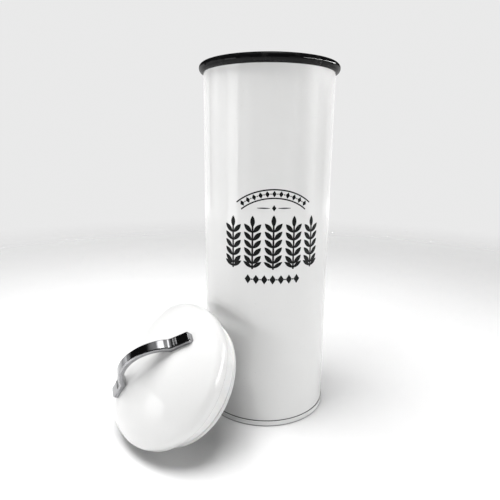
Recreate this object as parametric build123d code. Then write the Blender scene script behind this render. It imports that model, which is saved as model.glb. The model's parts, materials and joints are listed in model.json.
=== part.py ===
from build123d import *
from math import asin, atan2, cos, degrees, hypot, radians, sin, sqrt
import os

# Tall round food canister of lacquered tinplate with its domed lid taken off. The lid stands on its
# collar's edge and leans on the wall. Origin: on the canister's axis, at the floor. +Z is up, and the
# canister's front faces -Y. Millimetres and degrees.

# ---- driving dimensions: canister ------------------------------------------------------------------
wall_radius = 51.5          # outside of the rolled wall
canister_height = 282.5     # floor to the top of the rim trim
sheet = 0.5                 # tinplate thickness of every rolled or pressed piece

trim_radius = 3.5           # half-round of the black trim round the mouth
trim_clearance = 0.08       # trim to the wall's curl
trim_joint_gap = 0.3        # butt joint where the trim's ends meet
trim_joint_azimuth = -48.0
wire_radius = 1.1           # stiffening wire inside the wall's curl
wire_clearance = 0.08

side_seam_width = 6.0       # folded lock seam up the back of the wall
side_seam_rise = 0.8
side_seam_azimuth = 90.0
side_seam_end_gap = 0.6     # to the base seam and to the trim

base_seam_height = 4.4      # rolled seam that holds the base pan on
base_seam_gap = 0.2         # wall to the seam's outer leg
base_seam_swage = 0.1       # the wall is swaged out by this much where the pan's leg goes in
base_leg_clearance = 0.03
base_recess = 6.0           # floor of the pan above the table
base_edge_fillet = 0.4
base_step_radius = 36.0     # raised middle of the pan
base_step_slope = 2.0
base_step_rise = 1.0
swage_margin = 1.0          # plain swaged wall above the pan
swage_taper = 2.0

# ---- driving dimensions: lid -----------------------------------------------------------------------
lid_overhang = 0.5          # the dome's skirt stands this far outside the rim trim
shoulder_radius = 8.8       # round between skirt and dome
shoulder_height = 20.6      # centre of that round above the collar's lower edge
lid_height = 44.1           # top of the dome above the collar's lower edge
hem_height = 16.6           # underside of the skirt's hem above the collar's lower edge
hem_corner = 0.9
hem_inner_overlap = 0.2     # hem reaches in to this much outside the mouth's radius
collar_mouth_clearance = 0.6    # collar's roll to the mouth
collar_roll_radius = 1.1
collar_flange_gap = 0.02    # flange to the hem below it
collar_flange_edge_gap = 0.6    # flange's rim to the inside of the skirt
seal_mouth_clearance = 0.1  # the silicone lips are drawn at their squeezed size
seal_collar_clearance = 0.05
seal_roll_clearance = 0.05
seal_height = 12.8
seal_body_thickness = 1.5
seal_lip_radius = 0.9
seal_lip_inset = 1.15       # lip's middle from the seal's edge
bead_radius = 0.5           # bead in the collar that keeps the seal down
bead_clearance = 0.1

# ---- driving dimensions: handle --------------------------------------------------------------------
handle_arch_span = 51.7     # between the two feet, measured square to the lid's axis
handle_foot_length = 13.75  # likewise
handle_arch_rise = 14.6     # top of the arch above its start
handle_thickness = 4.35
handle_foot_width = 8.8
handle_waist_width = 7.2    # at the middle of the arch
handle_bend = 12.0          # concave bend where foot and arch meet
handle_foot_corner = 1.7    # round corners of the foot, seen from above
handle_edge = 0.7           # bevel along the upper edges
handle_edge_share = 0.18    # most of a foot's round corner that the bevel takes, over the sine of its slope
handle_seat_clearance = 0.02
handle_rib_radius = 1.6     # raised rib across the strap where each foot begins
handle_rib_rise = 0.5
handle_rib_inset = 3.75     # rib's middle from the foot's inner end
handle_turn = 52.9          # about the lid's axis, from level towards uphill

# ---- driving dimensions: screws --------------------------------------------------------------------
screw_inset = 6.6           # screw's middle from the foot's outer end
screw_radius = 2.0
screw_length = 3.4          # thread inside the handle's foot
screw_clearance = 0.04
screw_hole_clearance = 0.15
screw_end_clearance = 0.2
screw_head_radius = 3.5
screw_head_height = 2.3
screw_head_fillet = 1.0
screw_slot_width = 1.0
screw_slot_length = 4.2
screw_slot_depth = 1.3
washer_radius = 4.6
washer_thickness = 0.8
washer_hole_clearance = 0.25
washer_seat_clearance = 0.02

# ---- driving dimensions: how the lid leans ---------------------------------------------------------
lid_azimuth = 225.9         # way that the dome faces, in plan
lid_elevation = 36.2        # of the lid's axis above level
touch_turn = -5.7           # of the collar's touching point from its highest point
lean_gap = 0.25             # collar's roll to the wall

same_place = 1e-4           # corners closer than this are one corner
upward = 0.2                # a face whose normal rises more than this belongs to the handle's top

# ---- worked out ------------------------------------------------------------------------------------
mouth_radius = wall_radius - sheet
rim_height = canister_height - trim_radius
curl_radius = wire_radius + wire_clearance + sheet
curl_centre = mouth_radius + curl_radius

pan_top = base_recess + sheet
swage_top = pan_top + swage_margin
swage_inner = mouth_radius + base_seam_swage
pan_leg_outer = swage_inner - base_leg_clearance
pan_leg_inner = pan_leg_outer - sheet
base_seam_inner = wall_radius + base_seam_swage + base_seam_gap
base_seam_radius = base_seam_inner + sheet

lid_radius = wall_radius + trim_radius + lid_overhang
shoulder_centre = lid_radius - shoulder_radius
dome_drop = lid_height - shoulder_height
dome_radius = (shoulder_centre**2 + dome_drop**2 - shoulder_radius**2) / (2 * (dome_drop - shoulder_radius))
dome_centre = lid_height - dome_radius
shoulder_angle = degrees(atan2(shoulder_height - dome_centre, shoulder_centre))

collar_roll_centre = mouth_radius - collar_mouth_clearance - collar_roll_radius
collar_inner = collar_roll_centre - collar_roll_radius
collar_outer = collar_inner + sheet
flange_bottom = hem_height + sheet + collar_flange_gap
flange_top = flange_bottom + sheet
seal_inner = collar_outer + seal_collar_clearance
seal_outer = mouth_radius - seal_mouth_clearance
seal_bottom = 2 * collar_roll_radius + seal_roll_clearance
seal_top = seal_bottom + seal_height

half_arch = handle_arch_span / 2
half_length = half_arch + handle_foot_length
rib_place = half_arch + handle_rib_inset
screw_place = half_length - screw_inset
foot_slope = asin((half_arch + half_length) / (2 * dome_radius))
handle_bevel = min(handle_edge, handle_edge_share * handle_foot_corner / sin(foot_slope))


# ---- small helpers ---------------------------------------------------------------------------------
def block(r_low, r_high, z_low, z_high):
    """Rectangle in the turning plane: radius along X, height along Y."""
    middle = Pos((r_low + r_high) / 2, (z_low + z_high) / 2)
    return middle * Rectangle(r_high - r_low, z_high - z_low)


def disc(r, z, radius):
    return Pos(r, z) * Circle(radius)


def turned(section, arc=360.0):
    """Turns a section, drawn as radius along X and height along Y, about the Z axis."""
    return revolve(Plane.XZ * section, Axis.Z, arc)


def roll(r, z, radius, open_quarter):
    """Section of a sheet edge rolled three quarters of the way round."""
    return disc(r, z, radius) - disc(r, z, radius - sheet) - open_quarter


def on_dome(span_from_axis, radius):
    """Frame on a sphere about the dome's centre, under the handle. Its Z points straight out."""
    lean = asin(span_from_axis / dome_radius)
    out = Vector(sin(lean), 0, cos(lean))
    return Plane(origin=Vector(0, 0, dome_centre) + out * radius, x_dir=(cos(lean), 0, -sin(lean)), z_dir=out)


def screw_frame(side, radius):
    """Frame of one of the two handle screws, side -1 or 1, at this radius from the dome's centre."""
    return on_dome(side * screw_place, radius)


# ---- canister --------------------------------------------------------------------------------------
def make_body_wall():
    """Rolled wall: swaged foot, curled rim and the lock seam up the back."""
    wall = Polyline(
        (swage_inner, sheet),
        (swage_inner, swage_top),
        (mouth_radius, swage_top + swage_taper),
        (mouth_radius, rim_height),
        (wall_radius, rim_height),
        (wall_radius, swage_top + swage_taper),
        (wall_radius + base_seam_swage, swage_top),
        (wall_radius + base_seam_swage, sheet),
        close=True,
    )
    open_quarter = block(curl_centre - 2 * curl_radius, curl_centre, rim_height - 2 * curl_radius, rim_height)
    curl = roll(curl_centre, rim_height, curl_radius, open_quarter)
    shell = turned(make_face(wall) + curl)
    seam_low = base_seam_height + side_seam_end_gap
    seam_high = rim_height - trim_radius - side_seam_end_gap
    seam_arc = degrees(side_seam_width / wall_radius)
    seam = turned(block(wall_radius - sheet / 2, wall_radius + side_seam_rise, seam_low, seam_high), seam_arc)
    return shell + Rot(0, 0, side_seam_azimuth - seam_arc / 2) * seam


def make_base_pan():
    """Pressed pan with a raised middle. Its edge turns down inside the wall, under it and up outside."""
    low, high = base_recess, pan_top
    section = make_face(
        Polyline(
            (0, low + base_step_rise),
            (base_step_radius - base_step_slope, low + base_step_rise),
            (base_step_radius, low),
            (pan_leg_inner, low),
            (pan_leg_inner, 0),
            (base_seam_radius, 0),
            (base_seam_radius, base_seam_height),
            (base_seam_inner, base_seam_height),
            (base_seam_inner, sheet),
            (pan_leg_outer, sheet),
            (pan_leg_outer, high),
            (base_step_radius, high),
            (base_step_radius - base_step_slope, high + base_step_rise),
            (0, high + base_step_rise),
            close=True,
        )
    )
    foot_corners = section.vertices().filter_by(lambda v: abs(v.Y) < same_place)
    return turned(fillet(foot_corners, base_edge_fillet))


def make_rim_wire():
    return turned(disc(curl_centre, rim_height, wire_radius))


def make_rim_trim():
    """Half-round black trim pressed over the wall's curl, with a butt joint."""
    outside = block(wall_radius, wall_radius + trim_radius, rim_height - trim_radius, canister_height)
    bead = disc(wall_radius, rim_height, trim_radius) & outside
    curl_room = curl_radius + trim_clearance
    lip = block(mouth_radius, wall_radius, rim_height + curl_room, canister_height)
    room_low = rim_height - trim_radius - sheet
    wall_room = block(mouth_radius - sheet, wall_radius + trim_clearance, room_low, rim_height + curl_room)
    ring = turned(bead + lip - disc(curl_centre, rim_height, curl_room) - wall_room)
    cut_length = 4 * trim_radius
    cut = Pos(wall_radius, 0, rim_height) * Box(cut_length, trim_joint_gap, cut_length)
    return ring - Rot(0, 0, trim_joint_azimuth) * cut


# ---- lid, drawn upright with its collar's lower edge at z = 0 --------------------------------------
def dome_line(inset):
    """Half outline of the dome from the axis to the foot of the skirt, moved inwards by inset."""
    cap = CenterArc((0, dome_centre), dome_radius - inset, shoulder_angle, 90 - shoulder_angle)
    shoulder = CenterArc((shoulder_centre, shoulder_height), shoulder_radius - inset, 0, shoulder_angle)
    return cap, shoulder


def make_lid_dome():
    """Pressed dome with a short skirt, hemmed inwards below, and two holes for the handle's screws."""
    outer_cap, outer_shoulder = dome_line(0)
    inner_cap, inner_shoulder = dome_line(sheet)
    skirt_inner = lid_radius - sheet
    hem_inner = mouth_radius + hem_inner_overlap
    hem = Polyline(
        (lid_radius, shoulder_height),
        (lid_radius, hem_height),
        (hem_inner, hem_height),
        (hem_inner, hem_height + sheet),
        (skirt_inner, hem_height + sheet),
        (skirt_inner, shoulder_height),
    )
    axis_edge = Line((0, lid_height - sheet), (0, lid_height))
    section = make_face([outer_cap, outer_shoulder, hem, inner_shoulder, inner_cap, axis_edge])
    corner = section.vertices().filter_by(lambda v: abs(v.Y - hem_height) < same_place).sort_by(Axis.X)[-1]
    dome = turned(fillet(corner, hem_corner))
    for side in (-1, 1):
        dome -= screw_frame(side, dome_radius) * Cylinder(screw_radius + screw_hole_clearance, 4 * sheet)
    return dome


def make_lid_collar():
    """Plug collar: a flange held in the dome's hem, a plain wall with a bead, and a rolled lower edge."""
    flange = block(collar_inner, lid_radius - sheet - collar_flange_edge_gap, flange_bottom, flange_top)
    wall = block(collar_inner, collar_outer, collar_roll_radius, flange_top)
    open_quarter = block(collar_inner - sheet, collar_roll_centre, collar_roll_radius, 3 * collar_roll_radius)
    lower_edge = roll(collar_roll_centre, collar_roll_radius, collar_roll_radius, open_quarter)
    bead_room = block(collar_outer - sheet / 2, collar_outer + bead_radius, seal_top, flange_bottom)
    bead = disc(collar_outer, seal_top + bead_clearance + bead_radius, bead_radius) & bead_room
    return turned(flange + wall + lower_edge + bead)


def make_lid_seal():
    """Silicone ring round the collar with two soft lips that meet the mouth."""
    body = block(seal_inner, seal_inner + seal_body_thickness, seal_bottom, seal_top)
    lips = [
        disc(seal_outer - seal_lip_radius, z, seal_lip_radius)
        for z in (seal_bottom + seal_lip_inset, seal_top - seal_lip_inset)
    ]
    return turned(body + lips)


def dome_height(from_axis):
    """Height of the dome's outside at this distance from the lid's axis."""
    return dome_centre + sqrt(dome_radius**2 - from_axis**2)


def foot_top(from_axis):
    """Height of a foot's flat top: a straight line between the tops of its two ends."""
    seat = handle_seat_clearance + handle_thickness
    start = dome_height(half_arch) + seat
    end = dome_height(half_length) + seat
    return start + (end - start) * (from_axis - half_arch) / (half_length - half_arch)


def handle_side():
    """Side view of the handle: X along it and Y up, with its feet running into the dome."""
    start = foot_top(half_arch)
    end = foot_top(half_length)
    sink = 2 * handle_thickness
    arch_radius = (half_arch**2 + handle_arch_rise**2) / (2 * handle_arch_rise)
    arch_centre = start + handle_arch_rise - arch_radius
    side = Pos(0, arch_centre) * (Circle(arch_radius) - Circle(arch_radius - handle_thickness))
    side &= block(-half_arch, half_arch, start - sink, start + 2 * handle_arch_rise)
    for way in (-1, 1):
        foot = Polyline(
            (way * half_arch, start),
            (way * half_length, end),
            (way * half_length, end - sink),
            (way * half_arch, start - sink),
            close=True,
        )
        side += make_face(foot)
    bends = side.vertices().filter_by(lambda v: hypot(abs(v.X) - half_arch, v.Y - start) < same_place)
    return fillet(bends, handle_bend)


def handle_plan():
    """Plan of the handle: a waist between two feet with rounded corners."""
    half_foot = handle_foot_width / 2
    half_waist = handle_waist_width / 2
    sides = [
        ThreePointArc((-half_arch, way * half_foot), (0, way * half_waist), (half_arch, way * half_foot))
        for way in (-1, 1)
    ]
    ends = [
        Polyline(
            (way * half_arch, -half_foot),
            (way * half_length, -half_foot),
            (way * half_length, half_foot),
            (way * half_arch, half_foot),
        )
        for way in (-1, 1)
    ]
    outline = make_face(sides + ends)
    corners = outline.vertices().filter_by(lambda v: abs(abs(v.X) - half_length) < same_place)
    return fillet(corners, handle_foot_corner)


def border(faces):
    """Edges that belong to only one of these faces."""
    found = {}
    for face in faces:
        for edge in face.edges():
            place = tuple(round(c, 3) for c in edge.center())
            found.setdefault(place, []).append(edge)
    return [edges[0] for edges in found.values() if len(edges) == 1]


def make_handle():
    """Cast bow handle: two flat feet seated on the dome, a waisted strap and a rib where each foot begins."""
    strap = extrude(Plane.XZ * handle_side(), handle_foot_width, both=True)
    strap &= extrude(handle_plan(), 2 * lid_height)
    top_faces = strap.faces().filter_by(lambda f: f.normal_at().Z > upward)
    strap = chamfer(border(top_faces), handle_bevel)
    rib_height = foot_top(rib_place) - handle_rib_radius + handle_rib_rise
    for side in (-1, 1):
        strap += Pos(side * rib_place, 0, rib_height) * Rot(90, 0, 0) * Cylinder(
            handle_rib_radius, handle_foot_width - handle_edge
        )
    strap -= Pos(0, 0, dome_centre) * Sphere(dome_radius + handle_seat_clearance)
    hole_depth = screw_length + screw_end_clearance
    for side in (-1, 1):
        strap -= screw_frame(side, dome_radius) * Cylinder(screw_radius + screw_clearance, 2 * hole_depth)
    return strap


def washer_seat():
    """Radius, from the dome's centre, of a flat washer's upper face pressed up inside the dome."""
    inside = dome_radius - sheet - washer_seat_clearance
    return sqrt(inside**2 - washer_radius**2)


def make_washer(side):
    middle = screw_frame(side, washer_seat() - washer_thickness / 2)
    return middle * (
        Cylinder(washer_radius, washer_thickness)
        - Cylinder(screw_radius + washer_hole_clearance, 2 * washer_thickness)
    )


def make_handle_screw(side):
    """Pan-head cross-slot screw, driven from inside the lid through the washer into the foot."""
    head_top = washer_seat() - washer_thickness
    tip = dome_radius + screw_length
    shank_length = tip - head_top
    screw = screw_frame(side, head_top + shank_length / 2) * Cylinder(screw_radius, shank_length)
    head = Cylinder(screw_head_radius, screw_head_height)
    crown_edge = head.edges().filter_by(GeomType.CIRCLE).sort_by(Axis.Z)[0]
    head = fillet(crown_edge, screw_head_fillet)
    slot_height = (screw_slot_depth - screw_head_height) / 2
    for turn in (0, 90):
        head -= Pos(0, 0, slot_height) * Rot(0, 0, turn) * Box(
            screw_slot_length, screw_slot_width, screw_slot_depth
        )
    return screw + screw_frame(side, head_top - screw_head_height / 2) * head


def lean_pose():
    """Where the upright lid goes: its collar's roll stands on the floor and touches the wall."""
    up = radians(lid_elevation)
    facing = radians(lid_azimuth)
    touch = radians(90 + touch_turn)
    level = Vector(-sin(facing), cos(facing), 0)
    inward = Vector(-cos(facing), -sin(facing), 0)
    axis = Vector(cos(up) * cos(facing), cos(up) * sin(facing), sin(up))
    to_touch = (level * cos(touch) + inward * (sin(up) * sin(touch))) * collar_roll_centre
    to_wall = (level * (cos(touch) * sin(up)) + inward * sin(touch)).normalized()
    stand_off = wall_radius + lean_gap + collar_roll_radius
    floor_height = collar_roll_centre * cos(up) + collar_roll_radius
    roll_middle = Vector(0, 0, floor_height) - to_touch - to_wall * stand_off
    turn = radians(handle_turn)
    uphill = axis.cross(level)
    along_handle = level * cos(turn) + uphill * sin(turn)
    return Plane(origin=roll_middle - axis * collar_roll_radius, x_dir=along_handle, z_dir=axis)


canister = {
    "body_wall": make_body_wall(),
    "base_pan": make_base_pan(),
    "rim_wire": make_rim_wire(),
    "rim_trim": make_rim_trim(),
}
upright_lid = {
    "lid_dome": make_lid_dome(),
    "lid_collar": make_lid_collar(),
    "lid_seal": make_lid_seal(),
    "handle": make_handle(),
    "handle_screw_low": make_handle_screw(-1),
    "handle_screw_high": make_handle_screw(1),
    "washer_low": make_washer(-1),
    "washer_high": make_washer(1),
}
pose = lean_pose()
lid = {name: pose.location * shape for name, shape in upright_lid.items()}

os.makedirs("parts", exist_ok=True)
for name, shape in {**canister, **lid}.items():
    export_step(shape, f"parts/{name}.step")
print("lid collar's lower edge, centre:", pose.origin)
print("lid axis:", pose.z_dir, "handle direction:", pose.x_dir)
print("dome radius:", round(dome_radius, 2), "dome centre above the collar's edge:", round(dome_centre, 2))
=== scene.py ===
# %% [markdown]
# # A tall food canister with its domed lid taken off
# The canister is a tube of thin tinplate, sprayed with white lacquer, with a glossy black trim round its
# mouth. The lid is pressed from the same sheet, and a polished bow handle is screwed to its top.
# The construction model already holds every piece at its real size. This file gives each piece its finish,
# and it makes a finer skin, of the same size, where a glossy finish would show every facet.

# %% Load the frame
import json
from math import atan2, cos, degrees, hypot, pi, radians, sin, sqrt

import bmesh
import bpy
from mathutils import Matrix, Vector, noise


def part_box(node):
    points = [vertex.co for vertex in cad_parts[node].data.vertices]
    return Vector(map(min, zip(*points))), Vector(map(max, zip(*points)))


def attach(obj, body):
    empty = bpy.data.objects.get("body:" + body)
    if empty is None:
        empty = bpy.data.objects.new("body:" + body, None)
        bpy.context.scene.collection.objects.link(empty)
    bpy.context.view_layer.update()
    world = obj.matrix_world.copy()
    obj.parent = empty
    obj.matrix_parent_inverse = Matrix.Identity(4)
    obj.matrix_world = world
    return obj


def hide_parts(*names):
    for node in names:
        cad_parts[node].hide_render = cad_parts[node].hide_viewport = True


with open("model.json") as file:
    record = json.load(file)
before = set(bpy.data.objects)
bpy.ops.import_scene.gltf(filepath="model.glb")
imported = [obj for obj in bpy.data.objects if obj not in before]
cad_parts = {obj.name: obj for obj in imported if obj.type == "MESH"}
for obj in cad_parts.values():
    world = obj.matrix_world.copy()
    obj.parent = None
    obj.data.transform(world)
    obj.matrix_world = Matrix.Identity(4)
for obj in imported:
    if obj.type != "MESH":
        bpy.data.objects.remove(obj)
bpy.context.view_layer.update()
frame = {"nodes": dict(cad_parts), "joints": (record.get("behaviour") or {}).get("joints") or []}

# %% [markdown]
# ## Sizes of the canister
# A turned part needs few sizes: a radius and a height for each corner of its outline. The large ones are
# read from the frame's boxes, so the skins can't drift away from the construction. The small ones, such as
# the sheet's thickness, are the maker's own. One unit is a metre, and mm keeps the numbers readable.

# %% Sizes of the canister
mm = 0.001
trim_low, trim_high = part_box("rim_trim")
rim_radius = round((trim_high.x - trim_low.x) / 2, 4)
canister_height = trim_high.z
trim_radius = (trim_high.z - trim_low.z) / 2
rim_height = canister_height - trim_radius
wall_radius = rim_radius - trim_radius
sheet = 0.5 * mm
mouth_radius = wall_radius - sheet
print("rim radius", rim_radius, "wall radius", round(wall_radius, 5), "height", round(canister_height, 5))

# %% [markdown]
# ## Where the lid lies
# The lid leans on the wall, so none of its pieces is level. Each is easier to draw upright, standing on its
# collar's lower edge, and then to carry over in one go with a matrix. The lid's axis is the slide's axis.
# The seal is the same above and below its middle, so the middle of its box lies on that axis, and the two
# washers give the handle's direction.

# %% Where the lid lies
def middle_of(node):
    low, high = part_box(node)
    return (low + high) / 2


lid_axis = Vector(frame["joints"][0]["axis"]).normalized()
along_handle = middle_of("washer_high") - middle_of("washer_low")
along_handle = (along_handle - lid_axis * along_handle.dot(lid_axis)).normalized()
across_handle = lid_axis.cross(along_handle)
collar_points = [v.co.dot(lid_axis) for v in frame["nodes"]["lid_collar"].data.vertices]
seal_middle = middle_of("lid_seal")
lid_origin = seal_middle + lid_axis * (min(collar_points) - seal_middle.dot(lid_axis))
lid_place = Matrix((along_handle, across_handle, lid_axis)).transposed().to_4x4()
lid_place.translation = lid_origin
print("lid stands on", [round(c / mm, 2) for c in lid_origin], "axis", [round(c, 4) for c in lid_axis])

# %% [markdown]
# ## Camera
# The camera stands a little above the middle of the canister and looks down at it. That is what makes the
# upright wall narrow towards its foot. It is built from its three axes, so that its turn, tilt and roll can
# be given one by one.

# %% Camera
camera_place = Vector((0, -369.2, 217.8)) * mm
camera_turn = radians(-2.14)
camera_tilt = radians(12.74)
camera_roll = radians(0.55)
lens_width = 36.0
lens_length = 31.77

ahead = Vector((sin(camera_turn), cos(camera_turn), 0))
forward = ahead * cos(camera_tilt) - Vector((0, 0, sin(camera_tilt)))
level = Vector((cos(camera_turn), -sin(camera_turn), 0))
upright = level.cross(forward)
right = level * cos(camera_roll) + upright * sin(camera_roll)
above = upright * cos(camera_roll) - level * sin(camera_roll)
camera_data = bpy.data.cameras.new("camera")
camera_data.sensor_width = lens_width
camera_data.lens = lens_length
camera_axes = Matrix((right, above, -forward)).transposed().to_4x4()
camera = bpy.data.objects.new("camera", camera_data)
camera.matrix_world = Matrix.Translation(camera_place) @ camera_axes
bpy.context.scene.collection.objects.link(camera)
bpy.context.scene.camera = camera
print("camera at", [round(c, 3) for c in camera_place])

# %% [markdown]
# ## A small kit for node trees
# A finish is a few textures joined to one shader, and the sky is built from nodes too. The same moves come
# back in all of them: a node with its settings, a range stretched to new limits, and two numbers combined.
# They could be written out each time, but one small class keeps every tree short enough to read.

# %% A small kit for node trees
class NodeKit:
    """Short calls for the nodes of one tree."""

    def __init__(self, tree):
        self.nodes = tree.nodes
        self.links = tree.links

    def node(self, kind, **settings):
        made = self.nodes.new(kind)
        for key, value in settings.items():
            setattr(made, key, value)
        return made

    def join(self, source, target):
        self.links.new(source, target)

    def limits(self, value, low, high, to_low=0.0, to_high=1.0):
        """Stretches the part of value between low and high to run from to_low to to_high."""
        reach = self.node("ShaderNodeMapRange", interpolation_type="SMOOTHSTEP")
        names = ("From Min", "From Max", "To Min", "To Max")
        for key, number in zip(names, (low, high, to_low, to_high)):
            reach.inputs[key].default_value = number
        self.join(value, reach.inputs["Value"])
        return reach.outputs["Result"]

    def reckon(self, operation, first, second):
        """Arithmetic on two values, each a plain number or what another node gives."""
        made = self.node("ShaderNodeMath", operation=operation)
        for socket, value in zip(made.inputs, (first, second)):
            if isinstance(value, (int, float)):
                socket.default_value = value
            else:
                self.join(value, socket)
        return made.outputs[0]

    def product(self, first, second):
        return self.reckon("MULTIPLY", first, second)

    def total(self, first, second):
        return self.reckon("ADD", first, second)


# %% [markdown]
# The noise uses the surface's own coordinates, so its grain has a real size in metres and moves with the
# piece.

class Finish(NodeKit):
    """A material with one principled shader and short calls for the textures that feed it."""

    def __init__(self, name, **settings):
        self.material = bpy.data.materials.new(name)
        self.material.use_nodes = True
        super().__init__(self.material.node_tree)
        self.shader = self.nodes["Principled BSDF"]
        self.place = self.node("ShaderNodeTexCoord").outputs["Object"]
        self.bumps = None
        for key, value in settings.items():
            self.shader.inputs[key.replace("_", " ")].default_value = value

    def feed(self, **values):
        """Joins each value to the shader's socket of that name."""
        for key, value in values.items():
            self.join(value, self.shader.inputs[key.replace("_", " ")])

    def grain(self, size, detail=2.0, roughness=0.5):
        """Noise from 0 to 1 whose blotches are about this size, in metres."""
        texture = self.node("ShaderNodeTexNoise")
        texture.inputs["Scale"].default_value = 1 / size
        texture.inputs["Detail"].default_value = detail
        texture.inputs["Roughness"].default_value = roughness
        self.join(self.place, texture.inputs["Vector"])
        return texture.outputs["Fac"]

    def mix(self, factor, first, second):
        """Two colours, or a colour over what another mix gave, by a value from 0 to 1."""
        made = self.node("ShaderNodeMix", data_type="RGBA")
        self.join(factor, made.inputs["Factor"])
        for socket, value in ((made.inputs[6], first), (made.inputs[7], second)):
            if isinstance(value, tuple):
                socket.default_value = (*value, 1.0)
            else:
                self.join(value, socket)
        return made.outputs[2]

    def painted(self, name):
        """A number that the mesh itself carries at each point."""
        return self.node("ShaderNodeAttribute", attribute_name=name).outputs["Fac"]

    def bump(self, value, height):
        """Adds relief of this height, in metres, over the relief so far."""
        made = self.node("ShaderNodeBump")
        made.inputs["Distance"].default_value = height
        made.inputs["Strength"].default_value = 1.0
        self.join(value, made.inputs["Height"])
        if self.bumps:
            self.join(self.bumps, made.inputs["Normal"])
        self.bumps = made.outputs["Normal"]
        self.join(self.bumps, self.shader.inputs["Normal"])


# %% [markdown]
# ## White lacquer
# The lacquer is sprayed on tinplate and baked. Close up it has a faint orange peel, its tone wanders a
# little where the coat is thicker, and fingers leave dull smudges. The gloss is a clear coat over a softer
# white, which is how baked enamel behaves: a sharp reflection that grows towards the edges. Where two
# pieces meet, the mesh carries a number, and there the lacquer is painted dark: painted shade for the
# shadow that falls in the joint.

# %% White lacquer
lacquer_gloss = {"Coat_Weight": 1.0, "Coat_Roughness": 0.04, "Coat_IOR": 1.5, "Specular_IOR_Level": 0.3}
speck_grey = (0.42, 0.41, 0.40)
speck_strength = 0.35
# the colour of the painted shade in the joints
joint_shade_dark = (0.03, 0.03, 0.03)
orange_peel = 0.0035 * mm
spray_wave = 0.02 * mm


def make_lacquer(name, white, smudge):
    """Lacquer of this white. Smudge is how rough it gets where fingers have dulled it."""
    finish = Finish(name, **lacquer_gloss)
    cloud = finish.limits(finish.grain(38 * mm, detail=3), 0.35, 0.7)
    thin = tuple(c * 0.985 for c in white)
    colour = finish.mix(cloud, white, thin)
    specks = finish.limits(finish.grain(0.9 * mm, detail=1), 0.74, 0.8)
    colour = finish.mix(finish.product(specks, speck_strength), colour, speck_grey)
    # painted shade: the lacquer is darkened where a joint lies in shadow
    colour = finish.mix(finish.painted("painted_shade"), colour, joint_shade_dark)
    dull = finish.limits(finish.grain(24 * mm, detail=2), 0.3, 0.8, 0.28, smudge)
    finish.feed(Base_Color=colour, Roughness=dull)
    finish.bump(finish.grain(1.6 * mm, detail=1), orange_peel)
    finish.bump(finish.grain(9 * mm, detail=1), spray_wave)
    return finish.material


white_lacquer = make_lacquer("white_lacquer", (0.735, 0.735, 0.73), 0.33)
inside_lacquer = make_lacquer("inside_lacquer", (0.72, 0.72, 0.71), 0.5)
print("lacquers:", white_lacquer.name, inside_lacquer.name)

# %% [markdown]
# ## Black trim
# The trim is a deep black enamel ring. Nearly all its light comes from the coat, so the base stays almost
# black and the detail is in the gloss: a fine ripple along the ring and a few dull rubs.

# %% Black trim
trim_gloss = {"Coat_Weight": 0.36, "Coat_Roughness": 0.02, "Coat_IOR": 1.5, "Specular_IOR_Level": 0.0}
enamel_black = (0.0035, 0.0035, 0.0038)
rubbed_black = (0.009, 0.009, 0.009)


def make_black():
    finish = Finish("black_trim", **trim_gloss)
    rubbed = finish.limits(finish.grain(6 * mm, detail=5), 0.52, 0.72)
    finish.feed(Base_Color=finish.mix(rubbed, enamel_black, rubbed_black))
    finish.feed(Roughness=finish.limits(rubbed, 0, 1, 0.16, 0.34))
    finish.bump(finish.grain(2.2 * mm, detail=1), 0.004 * mm)
    return finish.material


black_trim = make_black()
print("trim finish:", black_trim.name)

# %% [markdown]
# ## Polished handle
# The handle is a casting with a dark nickel plate, polished by hand. Polishing leaves it a little uneven,
# the plate is worn and lighter on the edges, and grease dulls it in patches. The edges are told apart by a
# number that the mesh carries, which is more exact than a node that guesses where an edge is.

# %% Polished handle
nickel = (0.36, 0.36, 0.37)
greasy_nickel = (0.30, 0.30, 0.31)
worn_nickel = (0.50, 0.50, 0.51)
wear_dulls = 0.14


def make_nickel():
    finish = Finish("polished_handle", Metallic=1.0)
    patch = finish.limits(finish.grain(5 * mm, detail=4), 0.45, 0.7)
    colour = finish.mix(patch, nickel, greasy_nickel)
    wear = finish.limits(finish.grain(1.5 * mm, detail=3), 0.3, 0.6)
    rubbed = finish.product(finish.painted("edge"), wear)
    colour = finish.mix(rubbed, colour, worn_nickel)
    dull = finish.limits(patch, 0, 1, 0.09, 0.17)
    finish.feed(Base_Color=colour, Roughness=finish.total(dull, finish.product(rubbed, wear_dulls)))
    finish.bump(finish.grain(0.6 * mm, detail=3), 0.001 * mm)
    finish.bump(finish.grain(3.5 * mm, detail=1), 0.010 * mm)
    return finish.material


polished_handle = make_nickel()
print("handle finish:", polished_handle.name)

# %% [markdown]
# ## Silicone, steel wire and zinc
# Three small finishes. Silicone lets light in a little way, so it gets some subsurface. The wire and the
# zinc on the screws and washers are one recipe with other colours: a metal with fine crystals, some of
# them duller.

# %% Silicone, steel wire and zinc
def make_silicone():
    finish = Finish("seal_silicone", Subsurface_Weight=0.1, Subsurface_Scale=1.0 * mm)
    cloud = finish.limits(finish.grain(7 * mm, detail=3), 0.3, 0.7)
    finish.feed(Base_Color=finish.mix(cloud, (0.80, 0.80, 0.795), (0.755, 0.755, 0.75)))
    finish.feed(Roughness=finish.limits(cloud, 0, 1, 0.36, 0.52))
    finish.bump(finish.grain(0.5 * mm, detail=2), 0.006 * mm)
    return finish.material


def make_metal(name, bright, dull, crystal, relief):
    finish = Finish(name, Metallic=1.0)
    facet = finish.limits(finish.grain(crystal, detail=4, roughness=0.65), 0.3, 0.7)
    finish.feed(Base_Color=finish.mix(facet, bright, dull), Roughness=finish.limits(facet, 0, 1, 0.2, 0.38))
    finish.bump(facet, relief)
    return finish.material


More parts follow.
